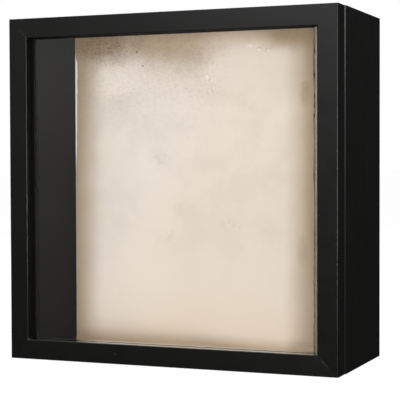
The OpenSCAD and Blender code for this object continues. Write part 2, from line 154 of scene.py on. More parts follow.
def place(name, description, default):
    """A place in the frame, in metres."""
    return bpy.props.FloatVectorProperty(
        name=name, description=description, default=default, size=3, subtype="TRANSLATION"
    )


def turn(name, description, degrees):
    """An angle, given in degrees."""
    return bpy.props.FloatProperty(
        name=name, description=description, default=math.radians(degrees), unit="ROTATION"
    )


def power(name, description, watts):
    """The power of a lamp."""
    return bpy.props.FloatProperty(name=name, description=description, default=watts, min=0, unit="POWER")


def brightness(name, description, default):
    """A level of light, where 1 is white."""
    return bpy.props.FloatProperty(name=name, description=description, default=default, min=0)


def fraction(name, description, default):
    """A share of a whole."""
    return bpy.props.FloatProperty(
        name=name, description=description, default=default, min=0, max=1, subtype="FACTOR"
    )


class ShadowBoxSizes(bpy.types.PropertyGroup):
    """Sizes of what the finish adds to the solids."""

    wood_arris: length("Wood arris", "Width of the rounding on the edges of the wood", 0.35 * MM)
    metal_arris: length("Metal arris", "Width of the rounding on the edges of the hardware", 0.12 * MM)
    glass_arris: length("Glass arris", "Width of the ground edges of the glass", 0.4 * MM)
    film_gap: length("Film gap", "Gap between the glass and what lies against it", 0.05 * MM)
    liner_t: length("Liner thickness", "Thickness of the liner sheet", 0.8 * MM)
    fold_r: length("Fold radius", "Inner radius of the liner's folds", 6 * MM)
    liner_ripple: length("Liner ripple", "How far the liner swells away from the board", 0.5 * MM)
    bow_depth: length("Bow depth", "How far the liner's left edge has shrunk away from the wall", 2.7 * MM)
    bow_low: length("Bow low end", "Height where the shrunken stretch of that edge begins", 184 * MM)
    bow_high: length("Bow high end", "Height where the shrunken stretch of that edge ends", 301 * MM)
    strip_wander: length("Strip wander", "How unevenly the glazing strips are trimmed", 0.5 * MM)


class ShadowBoxColours(bpy.types.PropertyGroup):
    """Colours of the finishes."""

    lacquer: colour("Lacquer", "Black lacquer", (0.0032, 0.0032, 0.0028))
    lacquer_worn: colour("Worn lacquer", "Lacquer rubbed thin at the mitres", (0.038, 0.038, 0.036))
    paper: colour("Paper", "Liner paper", (0.862, 0.775, 0.69))
    paper_yellow: colour("Yellowed paper", "Liner paper that has yellowed", (0.848, 0.748, 0.628))
    # Painted light: the paper in the fold at the floor is given a brighter colour against the shade there
    paper_fold_lit: colour("Paper at the foot", "Liner paper in the fold at the floor", (0.93, 0.75, 0.55))
    # Painted shade: the margins' colour is brown toning with the shade beside the walls and the frame
    # painted into it
    paper_toned_and_shaded: colour("Toned paper", "Liner paper gone brown along its margins", (0.42, 0.32, 0.206))
    # The same brown also darkens the wrinkles as painted shade
    foxing_and_shade: colour("Foxing", "Brown spots in the liner paper", (0.2, 0.12, 0.04))
    board: colour("Board", "White face of the backing board", (0.93, 0.905, 0.85))
    hardboard: colour("Hardboard", "Pressed fibre of the rear panel", (0.16, 0.08, 0.037))
    hardboard_dark: colour("Dark fibre", "Dark fibres of the rear panel", (0.07, 0.033, 0.016))
    pine: colour("Pine", "Early wood of the pine", (0.62, 0.42, 0.21))
    pine_late: colour("Late wood", "Late wood of the pine", (0.4, 0.22, 0.085))
    # Painted shade: the left strip is darker than the right one, which keeps the strips' own browner tint
    film_shaded_left: colour("Film", "Tint of the left glazing strip", (0.017, 0.016, 0.015))
    film_brown: colour("Brown film", "Tint of the right strip, which has aged more", (0.034, 0.023, 0.015))
    # Painted highlight: a milky line along the right strip's open edge
    film_highlight: colour("Milky film", "Line where the right strip has let go of the glass", (0.3, 0.33, 0.36))
    glass: colour("Glass", "Tint of the glass", (0.985, 0.99, 0.985))
    hinge: colour("Hinge", "Blackened steel of the hinges", (0.03, 0.028, 0.026))
    hinge_worn: colour("Worn hinge", "Steel that shows where the blacking is rubbed", (0.09, 0.086, 0.08))
    steel: colour("Steel", "Zinc plated steel", (0.55, 0.55, 0.53))
    steel_dull: colour("Dull steel", "Dulled zinc", (0.33, 0.33, 0.31))
    nickel: colour("Nickel", "Nickel plate of the magnets", (0.62, 0.6, 0.57))
    buffer: colour("Buffer", "Soft plastic of the door buffers", (0.05, 0.05, 0.05))


class ShadowBoxStudio(bpy.types.PropertyGroup):
    """The camera and the light of the photograph."""

    camera_place: place("Camera place", "Where the camera stands", (0.4866, -1.17467, 0.19049))
    camera_yaw: turn("Camera yaw", "Turn of the camera to the left", 22.3093)
    camera_pitch: turn("Camera pitch", "Tilt of the camera downwards", 1.6544)
    camera_roll: turn("Camera roll", "Roll of the camera", -0.179)
    camera_lens: bpy.props.FloatProperty(
        name="Lens", description="Focal length on a 36 mm sensor", default=117.378, unit="CAMERA"
    )
    key_place: place("Key place", "Centre of the key softbox", (0.58, -1.42, 0.17))
    key_width: length("Key width", "Side of the key softbox", 0.32)
    key_power: power("Key power", "Power of the key softbox", 15.2)
    sheen_place: place("Sheen place", "Centre of the softbox over the front", (-0.2, -1.3, 0.8))
    sheen_width: length("Sheen width", "Side of the softbox over the front", 0.6)
    sheen_power: power("Sheen power", "Power of the softbox over the front", 3.6)
    edge_place: place("Edge place", "Centre of the softbox at the right", (1.3, -0.55, 0.75))
    edge_width: length("Edge width", "Side of the softbox at the right", 0.4)
    edge_power: power("Edge power", "Power of the softbox at the right", 10.5)
    rear_place: place("Rear place", "Centre of the softbox behind the case", (-1.1, 0.9, 1.1))
    rear_width: length("Rear width", "Side of the softbox behind the case", 0.8)
    rear_power: power("Rear power", "Power of the softbox behind the case", 30)
    ambient: brightness("Ambient", "Level of the light from all round", 0.34)
    floor_width: length("Floor width", "Side of the studio floor", 60)
    floor: colour("Floor", "Colour of the studio floor", (0.9, 0.9, 0.9))
    glow: fraction("Floor glow", "Share of the floor's white that no shadow takes away", 0.9)
    glow_level: brightness("Glow level", "Level of that white", 1.06)
    flag_width: length("Flag width", "Side of the dark cloth that keeps the room out of the glass", 8)
    flag_height: length("Flag height", "How far that cloth is drawn up all round", 3.5)
    flag_lift: length("Flag lift", "How far that cloth lies above the floor", 0.2 * MM)
    flag_near: brightness("Flag near", "Level of the cloth close to the case", 0.13)
    flag_far: brightness("Flag far", "Level of the cloth at the foot of its walls", 0.2)
    flag_high: brightness("Flag high", "Level of the cloth higher up", 0.4)
    flag_back: fraction("Flag back", "Share of those levels that the cloth behind the case has", 0.5)
    flag_dusk: length("Flag dusk", "Height over which the cloth goes from the one level to the other", 0.8)
    flag_turn: length("Flag turn", "How far from the middle the cloth has gone over to that share", 0.3)


def select_only(piece):
    """Selects one piece and makes it the active one."""
    bpy.ops.object.select_all(action="DESELECT")
    piece.select_set(True)
    bpy.context.view_layer.objects.active = piece


def begin_edit(piece, elements="VERT"):
    """Opens a piece in edit mode with nothing selected, and returns its mesh."""
    select_only(piece)
    bpy.ops.object.mode_set(mode="EDIT")
    bpy.ops.mesh.select_mode(type=elements)
    bpy.ops.mesh.select_all(action="DESELECT")
    return bmesh.from_edit_mesh(piece.data)


def pick(piece, elements):
    """Selects the given vertices, edges or faces of the piece that is being edited."""
    for element in elements:
        element.select_set(True)
    bmesh.update_edit_mesh(piece.data)


def end_edit():
    """Goes back to object mode."""
    bpy.ops.object.mode_set(mode="OBJECT")


def apply_modifier(piece, kind, **settings):
    """Adds a modifier to a piece and applies it."""
    select_only(piece)
    modifier = piece.modifiers.new(kind.title(), kind)
    for name, value in settings.items():
        setattr(modifier, name, value)
    bpy.ops.object.modifier_apply(modifier=modifier.name)


def paint(piece, material, *others):
    """Gives a piece its material, and slots for others that some of its faces take."""
    if not piece.material_slots:
        piece.data.materials.append(material)
    piece.material_slots[0].material = material
    for other in others:
        piece.data.materials.append(other)


def is_sill(face):
    """True for the faces that look up at the foot of the door's opening."""
    return face.normal.z > FACING and face.center.z < MID_Z


def stand_in(piece, node):
    """Lets a piece stand for a CAD node: puts it on the node's body and hides the node."""
    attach(piece, BODY_OF[node])
    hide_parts(node)
    return piece


def eased(node, width):
    """A copy of a CAD node with whole faces and rounded edges, which stands for the node."""
    piece = bpy.data.objects.new(node + "_eased", frame["nodes"][node].data.copy())
    bpy.context.scene.collection.objects.link(piece)
    begin_edit(piece)
    bpy.ops.mesh.select_all(action="SELECT")
    bpy.ops.mesh.remove_doubles(threshold=TOUCHING)
    bpy.ops.mesh.dissolve_limited(angle_limit=FLAT_ANGLE)
    end_edit()
    apply_modifier(
        piece, "BEVEL", width=width, segments=ARRIS_SEGMENTS, limit_method="ANGLE", angle_limit=SHARP_ANGLE
    )
    bpy.ops.object.shade_smooth()
    apply_modifier(piece, "WEIGHTED_NORMAL", keep_sharp=True)
    return stand_in(piece, node)


def shade(tone, factor):
    """A colour made darker or paler."""
    return [factor * part for part in tone]


class Finish:
    """A material in the making: patterns on object coordinates, and one shader that they feed."""

    # A patch is full over this share of its size, and its edge has this many blots along its longer half
    patch_core = 0.2
    patch_blots = 3

    def __init__(self, name, **sockets):
        self.material = bpy.data.materials.new(name)
        self.material.use_nodes = True
        self.tree = self.material.node_tree
        self.tree.nodes.clear()
        self.shader = self.add("ShaderNodeBsdfPrincipled")
        self.add("ShaderNodeOutputMaterial", {"Surface": self.shader.outputs[0]})
        self.spot = self.add("ShaderNodeTexCoord").outputs["Object"]
        for socket, value in sockets.items():
            self.feed(socket.replace("_", " "), value)

    def add(self, kind, inputs=None, **settings):
        """Adds a node and fills its sockets with values or links."""
        made = self.tree.nodes.new(kind)
        for name, value in settings.items():
            setattr(made, name, value)
        for socket, value in (inputs or {}).items():
            self.fill(made.inputs[socket], value)
        return made

    def fill(self, socket, value):
        """Sets a socket to a value, or links it to another socket."""
        if isinstance(value, bpy.types.NodeSocket):
            self.tree.links.new(value, socket)
        elif socket.type == "RGBA" and len(value) == 3:
            socket.default_value = (*value, 1)
        else:
            socket.default_value = value

    def feed(self, socket, value):
        """Sets or links a socket of the shader."""
        self.fill(self.shader.inputs[socket], value)

    def reckon(self, operation, first, second=0.0):
        """The result of one operation on numbers."""
        return self.add("ShaderNodeMath", {0: first, 1: second}, operation=operation).outputs[0]

    def plus(self, first, second):
        """Two patterns added up."""
        return self.reckon("ADD", first, second)

    def minus(self, first, second):
        """A pattern with another one taken away."""
        return self.reckon("SUBTRACT", first, second)

    def times(self, first, second):
        """Two patterns multiplied."""
        return self.reckon("MULTIPLY", first, second)

    def larger(self, first, second):
        """The larger of two patterns at each spot."""
        return self.reckon("MAXIMUM", first, second)

    def size(self, value):
        """A pattern without its sign."""
        return self.reckon("ABSOLUTE", value)

    def wave(self, value):
        """The sine of a pattern."""
        return self.reckon("SINE", value)

    def axes(self):
        """The three object coordinates."""
        return self.add("ShaderNodeSeparateXYZ", {0: self.spot}).outputs

    def away(self, spot):
        """How far a spot is from the middle of its coordinates."""
        return self.add("ShaderNodeVectorMath", {0: spot}, operation="LENGTH").outputs["Value"]

    def noise(self, scale, detail=3, stretch=None, rough=0.5):
        """Soft noise, from 0 to 1 about 0.5, with a scale in blots a metre, drawn out along a grain."""
        spot = self.spot
        if stretch:
            spot = self.add("ShaderNodeMapping", {"Vector": spot, "Scale": stretch}).outputs[0]
        inputs = {"Vector": spot, "Scale": scale, "Detail": detail, "Roughness": rough}
        return self.add("ShaderNodeTexNoise", inputs).outputs["Fac"]

    def spots(self, scale, radius):
        """Round spots: 1 in the middle of a spot and 0 outside its radius, a share of their spacing."""
        inputs = {"Vector": self.spot, "Scale": scale}
        distance = self.add("ShaderNodeTexVoronoi", inputs).outputs["Distance"]
        return self.step(distance, radius, radius / 2)

    def patch(self, middle, half, ragged=0.15):
        """A soft oval: 1 in its middle and 0 outside it, placed and sized in mm across and up."""
        inputs = {
            "Vector": self.spot,
            "Location": (middle[0] * MM, 0, middle[1] * MM),
            "Scale": (half[0] * MM, 1, half[1] * MM),
        }
        spot = self.add("ShaderNodeMapping", inputs, vector_type="TEXTURE").outputs[0]
        edge = self.span(self.noise(self.patch_blots / (max(half) * MM)), -ragged, ragged)
        return self.step(self.plus(self.away(spot), edge), 1, self.patch_core)

    def patches(self, marks, ragged=0.15):
        """All the soft ovals of a list of marks."""
        whole = 0.0
        for middle, half in marks:
            whole = self.larger(self.patch(middle, half, ragged), whole)
        return whole

    def step(self, value, start, end):
        """A smooth step from 0 at start to 1 at end."""
        inputs = {"Value": value, "From Min": start, "From Max": end}
        return self.add("ShaderNodeMapRange", inputs, interpolation_type="SMOOTHSTEP").outputs[0]

    def span(self, value, low, high):
        """A value from 0 to 1, brought to the span from low to high."""
        return self.add("ShaderNodeMapRange", {"Value": value, "To Min": low, "To Max": high}).outputs[0]

    def mix(self, share, first, second):
        """A blend of two colours."""
        made = self.add("ShaderNodeMix", data_type="RGBA")
        for index, value in ((0, share), (6, first), (7, second)):
            self.fill(made.inputs[index], value)
        return made.outputs[2]

    def bump(self, height, depth, under=None):
        """Raises the surface by a height pattern, depth metres high, over another one."""
        inputs = {"Height": height, "Distance": depth}
        if under:
            inputs["Normal"] = under
        normal = self.add("ShaderNodeBump", inputs).outputs[0]
        self.feed("Normal", normal)
        return normal


def lacquer(name, colours, grain, gloss, roughness, polish=0.0, mitred=True, foot_wear=0.0):
    """Black lacquer on wood, with a clear coat where it is polished.

    On the door it is rubbed and chipped at the mitres, and foot_wear makes it smoother towards the foot.
    """
    finish = Finish(name, Specular_IOR_Level=gloss, Coat_Weight=polish, Coat_Roughness=0.08)
    x, y, z = finish.axes()
    dust = finish.times(finish.spots(140, 0.09), finish.step(finish.noise(25), 0.5, 0.7))
    worn = finish.times(dust, 0.6)
    if mitred:
        # Distance from the mitre in a corner of the door, across its face
        across = finish.minus(CAD_BOX[1].x, finish.size(x))
        up = finish.minus(MID_Z, finish.size(finish.minus(z, MID_Z)))
        seam = finish.step(finish.size(finish.minus(across, up)), 0.9 * MM, 0.2 * MM)
        thin = finish.times(finish.patches(RUBBED_MITRES), finish.step(finish.noise(90), 0.45, 0.68))
        front = finish.step(y, LIP_BACK_Y, CAD_BOX[0].y)
        chips = finish.times(finish.patches(CHIPS), front)
        worn = finish.larger(worn, finish.larger(finish.times(seam, thin), chips))
    cloudy = finish.mix(finish.noise(14, 4), colours.lacquer, shade(colours.lacquer, 0.7))
    finish.feed("Base Color", finish.mix(worn, cloudy, colours.lacquer_worn))
    uneven = 0.06
    rough = finish.span(finish.noise(60, 4), roughness - uneven, roughness + uneven)
    if foot_wear:
        rough = finish.minus(rough, finish.times(finish.step(z, 240 * MM, 100 * MM), foot_wear))
    finish.feed("Roughness", rough)
    orange_peel = finish.bump(finish.noise(420, 2), 0.01 * MM)
    finish.bump(finish.noise(900, stretch=grain, rough=0.6), 0.012 * MM, orange_peel)
    return finish.material


def paper_margins(finish, wander):
    """How free the paper is of its brown toning and painted shade, from 0 in its margins to 1, and where its
    fold at the floor is.
    """
    x, y, z = finish.axes()
    # The margins are brown toning with painted shade, darker towards the walls, the top and the floor
    from_left = finish.plus(finish.minus(x, LINER_LOW.x), wander)
    from_right = finish.plus(finish.minus(LINER_HIGH.x, x), wander)
    from_top = finish.plus(finish.minus(LINER_HIGH.z, z), wander)
    from_floor = finish.plus(finish.minus(z, LINER_LOW.z), wander)
    # The left margin gets wider upwards
    widening = finish.span(finish.step(z, 60 * MM, 220 * MM), 2 * MM, -2.5 * MM)
    untoned_unshaded = finish.step(finish.plus(from_left, widening), -3 * MM, 35 * MM)
    # The right margin gets weaker and steeper towards the foot
    above_foot = finish.step(z, 55 * MM, 115 * MM)
    margin = finish.step(from_right, 67 * MM, finish.span(above_foot, 42 * MM, 34 * MM))
    untoned_unshaded = finish.times(untoned_unshaded, finish.span(margin, 1, finish.span(above_foot, 0.3, 0.12)))
    untoned_unshaded = finish.times(untoned_unshaded, finish.step(from_top, -12 * MM, 33 * MM))
    # The lower margin gets narrower towards the right
    narrowing = finish.larger(finish.times(x, 0.06), finish.times(x, 0.23))
    untoned_unshaded = finish.times(untoned_unshaded, finish.step(finish.plus(from_floor, narrowing), -20 * MM, 26 * MM))
    # Darker patches, most of them along the top edge
    for middle, half, depth in DARK_PATCHES:
        untoned_unshaded = finish.times(untoned_unshaded, finish.span(finish.patch(middle, half, ragged=0.25), 1, 1 - depth))
    # Painted light in the fold at the floor: the margins' brown and shade are partly lifted there
    fold = finish.step(z, 15 * MM, 9 * MM)
    fold_brightening = finish.times(fold, finish.span(finish.step(from_left, 10 * MM, 120 * MM), 0.1, 0.6))
    return finish.larger(untoned_unshaded, fold_brightening), fold


def paper_tone(finish, colours, wander, fold):
    """Colour of the paper: greyer in the middle, lighter at the foot as painted light, yellower at the right
    and in the fold.
    """
    x, y, z = finish.axes()
    below_top = finish.span(finish.step(z, 290 * MM, 250 * MM), 0.5, 1)
    clouds = finish.span(finish.step(finish.noise(30, 4), 0.35, 0.7), 0.75, 1.25)
    # Painted light: the paper is greyer from the middle up and so lighter at the foot, where less light
    # reaches it; the clouds are its own mottling
    mottle_and_painted_light = finish.times(finish.times(finish.step(z, 50 * MM, 140 * MM), below_top), clouds)
    slant = finish.minus(finish.plus(x, finish.times(wander, 6)), finish.times(z, 0.6))
    yellow = finish.mix(finish.step(slant, -190 * MM, -60 * MM), colours.paper, colours.paper_yellow)
    tone = finish.mix(finish.times(mottle_and_painted_light, 0.12), yellow, (0, 0, 0))
    tone = finish.mix(finish.patch(*PALE_PATCH, ragged=0.3), tone, shade(colours.paper, 1.04))
    # Painted light: the fold at the floor takes a brighter, yellower colour against its shade
    return finish.mix(fold, tone, colours.paper_fold_lit)


def liner_paper(colours):
    """Beige paper: toning and painted shade at the margins, painted light in the fold, dark patches,
    blisters, wrinkles.
    """
    finish = Finish("liner_paper", Roughness=0.85, Specular_IOR_Level=0.2)
    x, y, z = finish.axes()
    wander = finish.span(finish.noise(22), -4 * MM, 4 * MM)
    # The margins: brown toning with painted shade
    untoned_unshaded, fold = paper_margins(finish, wander)
    toned_and_shaded = finish.mix(untoned_unshaded, colours.paper_toned_and_shaded, paper_tone(finish, colours, wander, fold))
    # Wrinkles, with painted shade in them, and grime in the tooth of the paper, most of it in the upper left
    wrinkles_and_shade = finish.times(finish.patches(WRINKLES, ragged=0.3), finish.step(finish.noise(190), 0.42, 0.62))
    tooth = finish.step(finish.noise(1300, 2), 0.45, 0.65)
    blots = finish.step(finish.noise(430, 4, (0.8, 1, 1.2), 0.7), 0.46, 0.64)
    specks = finish.larger(blots, finish.times(tooth, 0.5))
    upper_left = finish.times(finish.step(z, 190 * MM, 320 * MM), finish.step(x, 45 * MM, -10 * MM))
    grime = finish.times(specks, finish.span(upper_left, 0.03, 0.24))
    grimy_and_shaded = finish.mix(finish.larger(grime, finish.times(wrinkles_and_shade, 0.09)), toned_and_shaded, colours.foxing_and_shade)
    # Darker blotched patches in the upper corners, and a few lone brown spots
    dark_marks = 0.0
    for middle, half, depth in UPPER_CORNER_PATCHES:
        dark_marks = finish.larger(finish.times(finish.patch(middle, half, ragged=0.25), depth), dark_marks)
    dark_marks = finish.larger(finish.times(dark_marks, finish.span(blots, 0.75, 1)), finish.patches(LONE_SPOTS))
    marked = finish.mix(finish.times(dark_marks, 0.95), grimy_and_shaded, colours.foxing_and_shade)
    # Blisters, where the paper has lifted, paler in colour than the paper round them
    lifted = finish.patches(BLISTERS)
    finish.feed("Base Color", finish.mix(finish.times(lifted, 0.8), marked, colours.paper))
    swells = finish.bump(finish.noise(120), 0.08 * MM)
    fibres = finish.bump(finish.noise(1500, 4, rough=0.7), 0.03 * MM, swells)
    finish.bump(finish.larger(lifted, finish.times(wrinkles_and_shade, 0.5)), 0.7 * MM, fibres)
    return finish.material


def white_board(colours):
    """White paper face of a foam board."""
    finish = Finish("white_board", Roughness=0.7)
    finish.feed("Base Color", finish.mix(finish.noise(400, 5), colours.board, shade(colours.board, 0.9)))
    finish.bump(finish.noise(1600), 0.02 * MM)
    return finish.material


def hardboard(colours):
    """Pressed fibre board with the mark of the wire screen that it was pressed on."""
    finish = Finish("hardboard", Roughness=0.8)
    x, y, z = finish.axes()
    wire_spacing = 1.6 * MM
    screen = finish.larger(*[finish.wave(finish.times(axis, 2 * math.pi / wire_spacing)) for axis in (x, z)])
    fibres = finish.noise(700, 6, rough=0.75)
    # Painted shade: the low parts of the screen's relief are made darker
    dark = finish.times(finish.step(screen, 0.2, -0.8), 0.5)
    tone = finish.mix(finish.step(fibres, 0.35, 0.65), colours.hardboard, colours.hardboard_dark)
    finish.feed("Base Color", finish.mix(dark, tone, colours.hardboard_dark))
    finish.bump(screen, 0.08 * MM, finish.bump(fibres, 0.06 * MM))
    return finish.material


def pine(name, colours, grain):
    """Bare sawn pine with its grain along one axis."""
    finish = Finish(name, Specular_IOR_Level=0.3)
    rings = finish.wave(finish.times(finish.noise(60, 2, grain), 60))
    late = finish.step(rings, 0.2, 0.95)
    fibres = finish.noise(1400, 4, grain, 0.65)
    wood = finish.mix(finish.times(late, 0.7), colours.pine, colours.pine_late)
    finish.feed("Base Color", finish.mix(finish.step(fibres, 0.55, 0.8), wood, colours.pine_late))
    finish.feed("Roughness", finish.span(fibres, 0.55, 0.8))
    finish.bump(fibres, 0.05 * MM, finish.bump(finish.noise(300, 2), 0.04 * MM))
    return finish.material


def clear_glass(colours):
    """Clear picture glass: the face that is seen mirrors for both, and all other light goes through."""
    finish = Finish("clear_glass", Base_Color=colours.glass, Metallic=1.0, Roughness=0.0)
    inside = finish.add("ShaderNodeNewGeometry").outputs["Backfacing"]
    # Two faces mirror about as much as one of this higher index
    mirror = finish.add("ShaderNodeFresnel", {"IOR": 1.8}).outputs[0]
    finish.feed("Alpha", finish.times(mirror, finish.minus(1.0, inside)))
    return finish.material


def glazing_film(colours):
    """See-through gummed strip: painted shade against the lip and on the left, a painted highlight on the
    right, stains on its open edge.
    """
    finish = Finish("glazing_film", Roughness=0.45, Specular_IOR_Level=0.1)
    x, y, z = finish.axes()
    on_right = finish.step(x, 0, 1 * MM)
    height = finish.step(z, 60 * MM, 240 * MM)
    from_edge = finish.minus(finish.size(x), STRIP_LOW.x)
    ragged = finish.span(finish.noise(700, stretch=(1, 1, 0.6)), -0.9 * MM, 0.9 * MM)
    from_ragged = finish.plus(from_edge, ragged)
    # Stuck to the lip, and a little beyond it low down: near opaque there, and darkened as painted shade on
    # the left
    lip_shade = finish.step(finish.plus(from_edge, finish.span(height, 0.35 * MM, 0)), 2.8 * MM, 3.3 * MM)
    # A painted highlight on the right, a milky line that fades low down
    line = finish.times(
        finish.step(from_ragged, 1.3 * MM, 1.9 * MM), finish.step(from_edge, 3.2 * MM, 2.8 * MM)
    )
    line = finish.times(line, finish.times(on_right, finish.span(height, 0.45, 1)))
    # The open edge is rolled in places and stained
    places = finish.step(finish.noise(70, stretch=(1, 1, 0.7)), 0.44, 0.6)
    rolled = finish.times(finish.step(from_ragged, 1.1 * MM, 0.4 * MM), places)
    stains = finish.times(finish.patches(STRIP_STAINS, ragged=0.3), finish.span(line, 1, 0.1))
    dark = finish.larger(finish.times(stains, 0.9), finish.times(rolled, 0.5))
    # On the left the strip is darkened as painted shade, most against the lip
    on_left = finish.mix(lip_shade, colours.film_shaded_left, shade(colours.film_shaded_left, 0.15))
    tint = finish.mix(on_right, on_left, colours.film_brown)
    # The painted highlight line goes over the tint
    finish.feed("Base Color", finish.mix(line, tint, colours.film_highlight))
    body = finish.span(line, 0.32, 0.24)
    finish.feed("Alpha", finish.larger(body, finish.larger(dark, finish.times(lip_shade, 0.97))))
    finish.bump(finish.noise(500), 0.04 * MM)
    return finish.material


def metal(name, tone, blotted, roughness, rarity=0.5):
    """Plated or blackened steel, with blots of a second tone that get fewer as their rarity goes up."""
    finish = Finish(name, Metallic=1.0)
    blots = finish.step(finish.noise(220, 5, rough=0.65), rarity - 0.15, rarity + 0.2)
    finish.feed("Base Color", finish.mix(blots, tone, blotted))
    finish.feed("Roughness", finish.span(finish.noise(900), roughness, roughness + 0.2))
    finish.bump(finish.noise(1400), 0.01 * MM)
    return finish.material


def soft_plastic(colours):
    """Soft plastic of the buffers."""
    finish = Finish("soft_plastic", Roughness=0.6)
    finish.feed("Base Color", finish.mix(finish.noise(900), colours.buffer, shade(colours.buffer, 1.6)))
    finish.bump(finish.noise(2500, 2), 0.01 * MM)
    return finish.material


class SHADOWBOX_OT_door_frame(bpy.types.Operator):
    """Ease the door's stiles and rails, and lacquer them: satin faces, matt edges and a polished sill"""

    bl_idname = "shadowbox.door_frame"
    bl_label = "Door frame"

    def execute(self, context):
        colours = context.scene.shadow_box_colours
        arris = context.scene.shadow_box_sizes.wood_arris
        polished = lacquer("lacquer_sill", colours, ALONG_X, gloss=0.7, roughness=0.16, polish=0.5)
        for nodes, name, grain, foot_wear in (
            (UPRIGHT_DOOR, "lacquer_upright", ALONG_Z, 0.055),
            (LEVEL_DOOR, "lacquer_level", ALONG_X, 0.0),
        ):
            satin = lacquer(name, colours, grain, gloss=0.3, roughness=0.32, foot_wear=foot_wear)
            matt = lacquer(name + "_edge", colours, grain, gloss=0.06, roughness=0.7)
            for node in nodes:
                piece = eased(node, arris)
                paint(piece, satin, matt, polished)
                for face in piece.data.polygons:
                    on_edge = abs(face.normal.y) < FACING
                    face.material_index = 2 if is_sill(face) else int(on_edge)
        return {"FINISHED"}


class SHADOWBOX_OT_beads(bpy.types.Operator):
    """Ease and lacquer the beads that keep the glass in"""

    bl_idname = "shadowbox.beads"
    bl_label = "Beads"

    def execute(self, context):
        colours = context.scene.shadow_box_colours
        matt = lacquer("bead_matt", colours, ALONG_Z, gloss=0.045, roughness=0.7)
        polished = lacquer("bead_sill", colours, ALONG_X, gloss=0.7, roughness=0.16, polish=0.6)
        for node in BEADS:
            piece = eased(node, context.scene.shadow_box_sizes.wood_arris)
            paint(piece, matt, polished)
            for face in piece.data.polygons:
                face.material_index = int(is_sill(face))
        return {"FINISHED"}


class SHADOWBOX_OT_case_panels(bpy.types.Operator):
    """Ease and lacquer the panels of the case: matt faces and satin arrises"""

    bl_idname = "shadowbox.case_panels"
    bl_label = "Case panels"

    def execute(self, context):
        colours = context.scene.shadow_box_colours
        for nodes, name, grain in (
            (UPRIGHT_CASE, "panel_upright", ALONG_Z),
            (LEVEL_CASE, "panel_level", ALONG_X),
        ):
            matt = lacquer(name, colours, grain, gloss=0.067, roughness=0.65, mitred=False)
            satin = lacquer(name + "_arris", colours, grain, gloss=0.36, roughness=0.35, mitred=False)
            for node in nodes:
                piece = eased(node, context.scene.shadow_box_sizes.wood_arris)
                paint(piece, matt, satin)
                for face in piece.data.polygons:
                    face.material_index = int(max(map(abs, face.normal)) < SQUARE)
        return {"FINISHED"}


